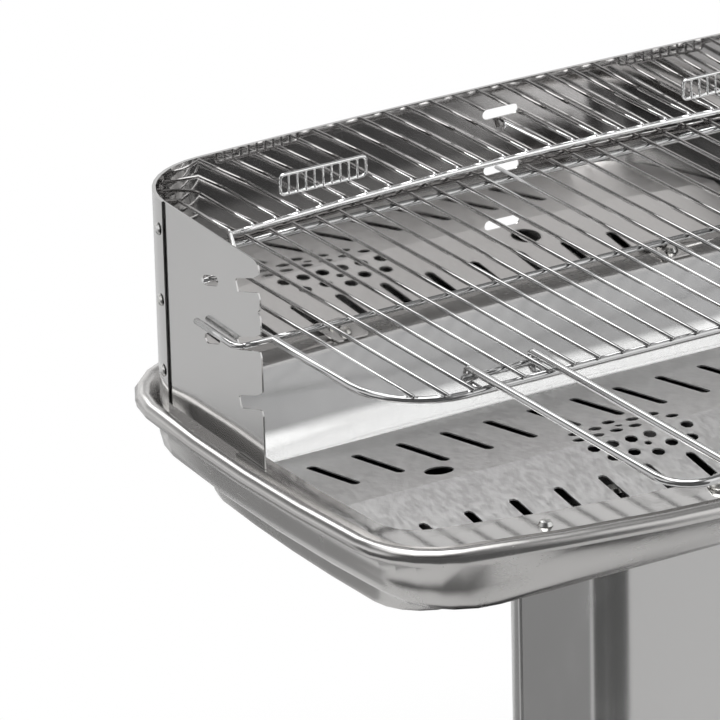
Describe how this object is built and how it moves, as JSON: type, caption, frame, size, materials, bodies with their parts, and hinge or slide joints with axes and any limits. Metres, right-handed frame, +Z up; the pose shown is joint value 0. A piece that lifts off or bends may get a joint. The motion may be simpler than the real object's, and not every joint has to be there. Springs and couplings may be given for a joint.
{
  "type": "charcoal grill",
  "caption": "Charcoal barbecue with an oblong steel brazier on a single column, a windshield with height notches, a wire cooking grid with folding handles and a warming rack.",
  "frame": {"origin": "floor level, under the middle of the column", "axes": "+X to the right and +Y to the back as seen by someone cooking at the front, +Z up"},
  "size_m": [0.591, 0.5285, 0.927],
  "materials": {
    "bowl_steel": "satin",
    "windshield_steel": "bright rolled stainless sheet",
    "grate_steel": "dull rolled sheet",
    "chrome_wire": "polished",
    "column_steel": "satin",
    "base_paint": "black powder coat",
    "zinc_fastener": "bright zinc plate",
    "black_rubber": "matt",
    "hub_plastic": "fine texture"
  },
  "bodies": {
    "stand": {"axle_cap_left": "hub_plastic", "axle_cap_right": "hub_plastic", "base_bolt_1": "zinc_fastener", "base_bolt_2": "zinc_fastener", "base_bolt_3": "zinc_fastener", "base_bolt_4": "zinc_fastener", "base_pan": "base_paint", "bowl_bolt_1": "zinc_fastener", "bowl_bolt_2": "zinc_fastener", "bowl_bolt_3": "zinc_fastener", "bowl_bolt_4": "zinc_fastener", "brazier_bowl": "bowl_steel", "column_foot_flange": "column_steel", "column_front_shell": "column_steel", "column_rear_panel": "column_steel", "column_top_flange": "column_steel", "foot_bolt_left": "zinc_fastener", "foot_bolt_right": "zinc_fastener", "front_foot_left": "black_rubber", "front_foot_right": "black_rubber", "ledge_nut_1": "zinc_fastener", "ledge_nut_2": "zinc_fastener", "ledge_nut_3": "zinc_fastener", "ledge_nut_4": "zinc_fastener", "ledge_screw_1": "zinc_fastener", "ledge_screw_2": "zinc_fastener", "ledge_screw_3": "zinc_fastener", "ledge_screw_4": "zinc_fastener", "ledge_strip": "bowl_steel", "seam_rivet_left_1": "zinc_fastener", "seam_rivet_left_2": "zinc_fastener", "seam_rivet_left_3": "zinc_fastener", "seam_rivet_right_1": "zinc_fastener", "seam_rivet_right_2": "zinc_fastener", "seam_rivet_right_3": "zinc_fastener", "strip_stud_left": "zinc_fastener", "strip_stud_right": "zinc_fastener", "stud_nut_left": "zinc_fastener", "stud_nut_right": "zinc_fastener", "wheel_axle": "zinc_fastener", "windshield_back": "windshield_steel", "windshield_side_left": "windshield_steel", "windshield_side_right": "windshield_steel"},
    "cooking_grid": {"cooking_grid": "chrome_wire"},
    "grid_handle_left": {"grid_handle_left": "chrome_wire"},
    "grid_handle_right": {"grid_handle_right": "chrome_wire"},
    "warming_rack": {"warming_rack": "chrome_wire"},
    "charcoal_grate": {"charcoal_grate": "grate_steel"},
    "wheel_left": {"wheel_left": "hub_plastic", "tyre_left": "black_rubber"},
    "wheel_right": {"wheel_right": "hub_plastic", "tyre_right": "black_rubber"}
  },
  "joints": [
    {"name": "grid_lift_out", "type": "slide", "parent": "stand", "child": "cooking_grid", "axis": [0, -0.9588, 0.284], "range_m": [0, 0.03]},
    {"name": "handle_left_fold", "type": "hinge", "parent": "cooking_grid", "child": "grid_handle_left", "pos_m": [-0.17, -0.109, 0.8671], "axis": [-1, 0, 0], "range_deg": [0, 110]},
    {"name": "handle_right_fold", "type": "hinge", "parent": "cooking_grid", "child": "grid_handle_right", "pos_m": [0.17, -0.109, 0.8671], "axis": [-1, 0, 0], "range_deg": [0, 110]},
    {"name": "rack_unhook", "type": "slide", "parent": "stand", "child": "warming_rack", "axis": [0, -0.9588, 0.284], "range_m": [0, 0.012]},
    {"name": "charcoal_grate_lift", "type": "slide", "parent": "stand", "child": "charcoal_grate", "axis": [0, 0, 1], "range_m": [0, 0.06]},
    {"name": "wheel_left_spin", "type": "hinge", "parent": "stand", "child": "wheel_left", "pos_m": [-0.263, 0.125, 0.08], "axis": [1, 0, 0], "continuous": true},
    {"name": "wheel_right_spin", "type": "hinge", "parent": "stand", "child": "wheel_right", "pos_m": [0.263, 0.125, 0.08], "axis": [1, 0, 0], "continuous": true}
  ]
}
